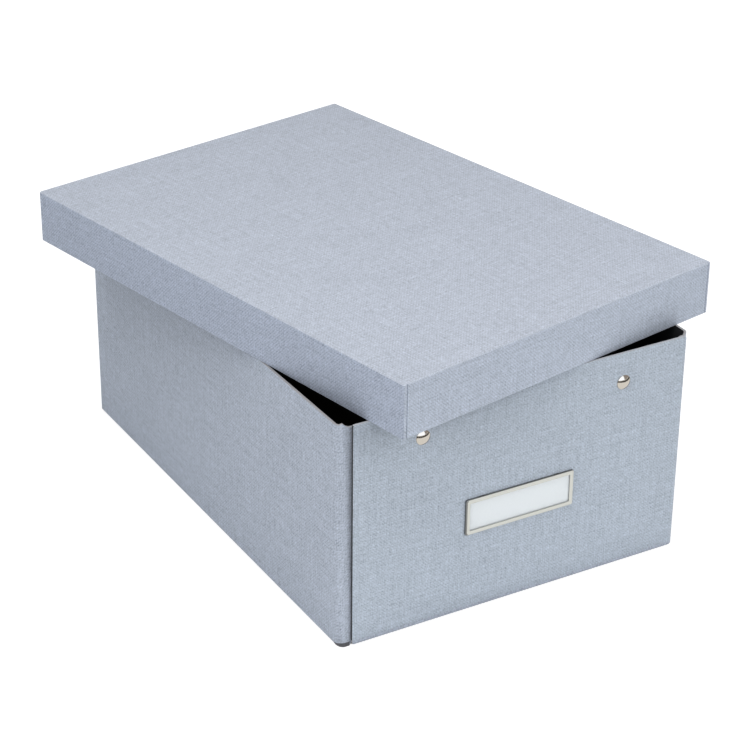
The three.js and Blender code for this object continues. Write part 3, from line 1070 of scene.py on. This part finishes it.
bm = bmesh.new()
drop = Matrix.Translation((0, 0, -FLOOR_DROP))
bmesh.ops.create_grid(bm, x_segments=1, y_segments=1, size=FLOOR_HALF, matrix=drop)
mesh = bpy.data.meshes.new("floor")
bm.to_mesh(mesh)
bm.free()
floor = bpy.data.objects.new("floor", mesh)
bpy.context.scene.collection.objects.link(floor)
material, tree, shader = new_material("floor_white")
shader.inputs["Roughness"].default_value = 1
seen = seen_directly(tree)
shade = add(tree, "ShaderNodeMix", data_type="RGBA")
shade.inputs[6].default_value = (BOUNCE_GREY, BOUNCE_GREY, BOUNCE_GREY, 1)
shade.inputs[7].default_value = (SEEN_GREY, SEEN_GREY, SEEN_GREY, 1)
tree.links.new(seen, shade.inputs[0])
tree.links.new(shade.outputs[2], shader.inputs["Base Color"])
black = add(tree, "ShaderNodeEmission", Strength=0)
glow = add(tree, "ShaderNodeEmission", Strength=FLOOR_GLOW)
dimmed = add(tree, "ShaderNodeMixShader")
tree.links.new(seen, dimmed.inputs[0])
tree.links.new(black.outputs[0], dimmed.inputs[1])
tree.links.new(glow.outputs[0], dimmed.inputs[2])
both = add(tree, "ShaderNodeAddShader")
tree.links.new(shader.outputs[0], both.inputs[0])
tree.links.new(dimmed.outputs[0], both.inputs[1])
tree.links.new(both.outputs[0], tree.nodes["Material Output"].inputs["Surface"])
mesh.materials.append(material)
print("floor", 2 * FLOOR_HALF, "m square")

# %% [markdown]
# ## The world
#
# The world does two jobs. To the camera it is pure white. As light it is only a soft fill of less
# than half that strength, which stands in for the white walls of a studio.

# %% World
FILL = 0.38

world = bpy.data.worlds.new("studio")
bpy.context.scene.world = world
world.use_nodes = True
tree = world.node_tree
ambient = tree.nodes["Background"]
ambient.inputs["Color"].default_value = (1, 1, 1, 1)
ambient.inputs["Strength"].default_value = FILL
backdrop = add(tree, "ShaderNodeBackground", Color=(1, 1, 1, 1))
choice = add(tree, "ShaderNodeMixShader")
tree.links.new(seen_directly(tree), choice.inputs[0])
tree.links.new(ambient.outputs[0], choice.inputs[1])
tree.links.new(backdrop.outputs[0], choice.inputs[2])
tree.links.new(choice.outputs[0], tree.nodes["World Output"].inputs["Surface"])
print("white world, fill", FILL)

# %% [markdown]
# ## Lamps
#
# Three large softboxes light the box: one from the right front, one from above, and one from the
# left. The front of the box grows brighter towards the table, which says that the table just before
# it shines back. Two low strips on the table do that. They face up, and no camera or mirror sees them.

# %% Lamps
STRIP_LEVEL = 1 * MM


def area_lamp(name, place, target, width, height, power):
    light = bpy.data.lights.new(name, "AREA")
    light.shape = "RECTANGLE"
    light.size = width
    light.size_y = height
    light.energy = power
    lamp = bpy.data.objects.new(name, light)
    lamp.location = place
    lamp.rotation_euler = (Vector(target) - Vector(place)).to_track_quat("-Z", "Y").to_euler()
    bpy.context.scene.collection.objects.link(lamp)
    return lamp


area_lamp("right_softbox", (1.0, -1.6, 1.2), (0, 0, 0.1), 1.4, 1.4, 15)
area_lamp("top_softbox", (-0.4, -0.15, 1.6), (-0.1, -0.1, 0.1), 1.2, 1.2, 12.6)
area_lamp("left_softbox", (-1.8, -0.6, 0.9), (0, 0, 0.1), 1.4, 1.4, 9)
for name, x, y, width, height, power in (
    ("front_strip", 0, -0.345, 0.9, 0.32, 0.38),
    ("left_strip", -0.295, 0, 0.32, 0.9, 0.08),
):
    strip = area_lamp(name, (x, y, STRIP_LEVEL), (x, y, 1), width, height, power)
    strip.visible_camera = False
    strip.visible_glossy = False
print("three softboxes and two strips of table that shine back")

# %% [markdown]
# ## Cards for the metal to mirror
#
# Polished metal looks like what it mirrors, and an empty white studio makes it flat. A photographer
# sets up cards beside the camera, and the caps show them as a bright side, a brown side and a dark
# rim. These are bent cards round the box that only shiny surfaces see. They light nothing else.

# %% Mirror cards
CARD_STEP = 6


def mirror_card(name, radius, from_angle, to_angle, low, high, colour, strength):
    """A curved upright card round the box, angles from +X in degrees."""
    bm = bmesh.new()
    steps = max(2, round((to_angle - from_angle) / CARD_STEP))
    start = math.radians(from_angle)
    x = radius * math.cos(start)
    y = radius * math.sin(start)
    first = bm.verts.new((x, y, low))
    second = bm.verts.new((x, y, high))
    edge = bm.edges.new((first, second))
    bmesh.ops.spin(
        bm, geom=[first, second, edge], cent=(0, 0, 0), axis=(0, 0, 1),
        angle=math.radians(to_angle - from_angle), steps=steps,
    )
    mesh = bpy.data.meshes.new(name)
    bm.to_mesh(mesh)
    bm.free()
    material, tree, shader = new_material(name)
    shader.inputs["Base Color"].default_value = (0, 0, 0, 1)
    shader.inputs["Specular IOR Level"].default_value = 0
    shader.inputs["Emission Color"].default_value = (*colour, 1)
    shader.inputs["Emission Strength"].default_value = strength
    mesh.materials.append(material)
    card = bpy.data.objects.new(name, mesh)
    bpy.context.scene.collection.objects.link(card)
    for kind in ("camera", "diffuse", "transmission", "volume_scatter", "shadow"):
        setattr(card, f"visible_{kind}", False)


mirror_card("dark_edge", 0.65, -180, 180, 0.0, 0.13, (1, 0.97, 0.95), 0.15)
mirror_card("bright_card", 0.9, -150, -66, 0.18, 1.2, (0.9, 0.98, 1.12), 2.1)
mirror_card("brown_card", 0.9, -66, 60, 0.18, 1.6, (1, 0.93, 0.92), 0.45)
print("three cards round the box")

# %% [markdown]
# ## The camera
#
# The place, the view direction and the lens were worked out from the straight edges of the box and
# its lid in the photo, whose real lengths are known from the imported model. The picture is square,
# 750 pixels wide, and the focal length is given in those pixels.

# %% Camera
PHOTO_SIZE = 750
SENSOR = 36
FOCAL_PIXELS = 2291.69
CAMERA_PLACE = (-0.68917, -1.17783, 0.78326)
CAMERA_FORWARD = (0.44886, 0.7657, -0.46069)
CAMERA_RIGHT = (0.86506, -0.50159, 0.00917)

camera_data = bpy.data.cameras.new("camera")
camera_data.sensor_width = SENSOR
camera_data.lens = FOCAL_PIXELS / PHOTO_SIZE * SENSOR
camera_data.clip_end = 50
camera = bpy.data.objects.new("camera", camera_data)
bpy.context.scene.collection.objects.link(camera)
forward = Vector(CAMERA_FORWARD).normalized()
right = Vector(CAMERA_RIGHT)
right = (right - forward * right.dot(forward)).normalized()
upward = right.cross(forward)
turn = Matrix((right, upward, -forward)).transposed()
camera.matrix_world = Matrix.Translation(CAMERA_PLACE) @ turn.to_4x4()
bpy.context.scene.camera = camera
bpy.context.scene.view_settings.view_transform = "Standard"
print("lens", round(camera_data.lens, 1), "mm")

# %% [markdown]
# ## The end
#
# The finish must not change the object's size. Last, the scene is brought up to date.

# %% The end
bpy.context.view_layer.update()
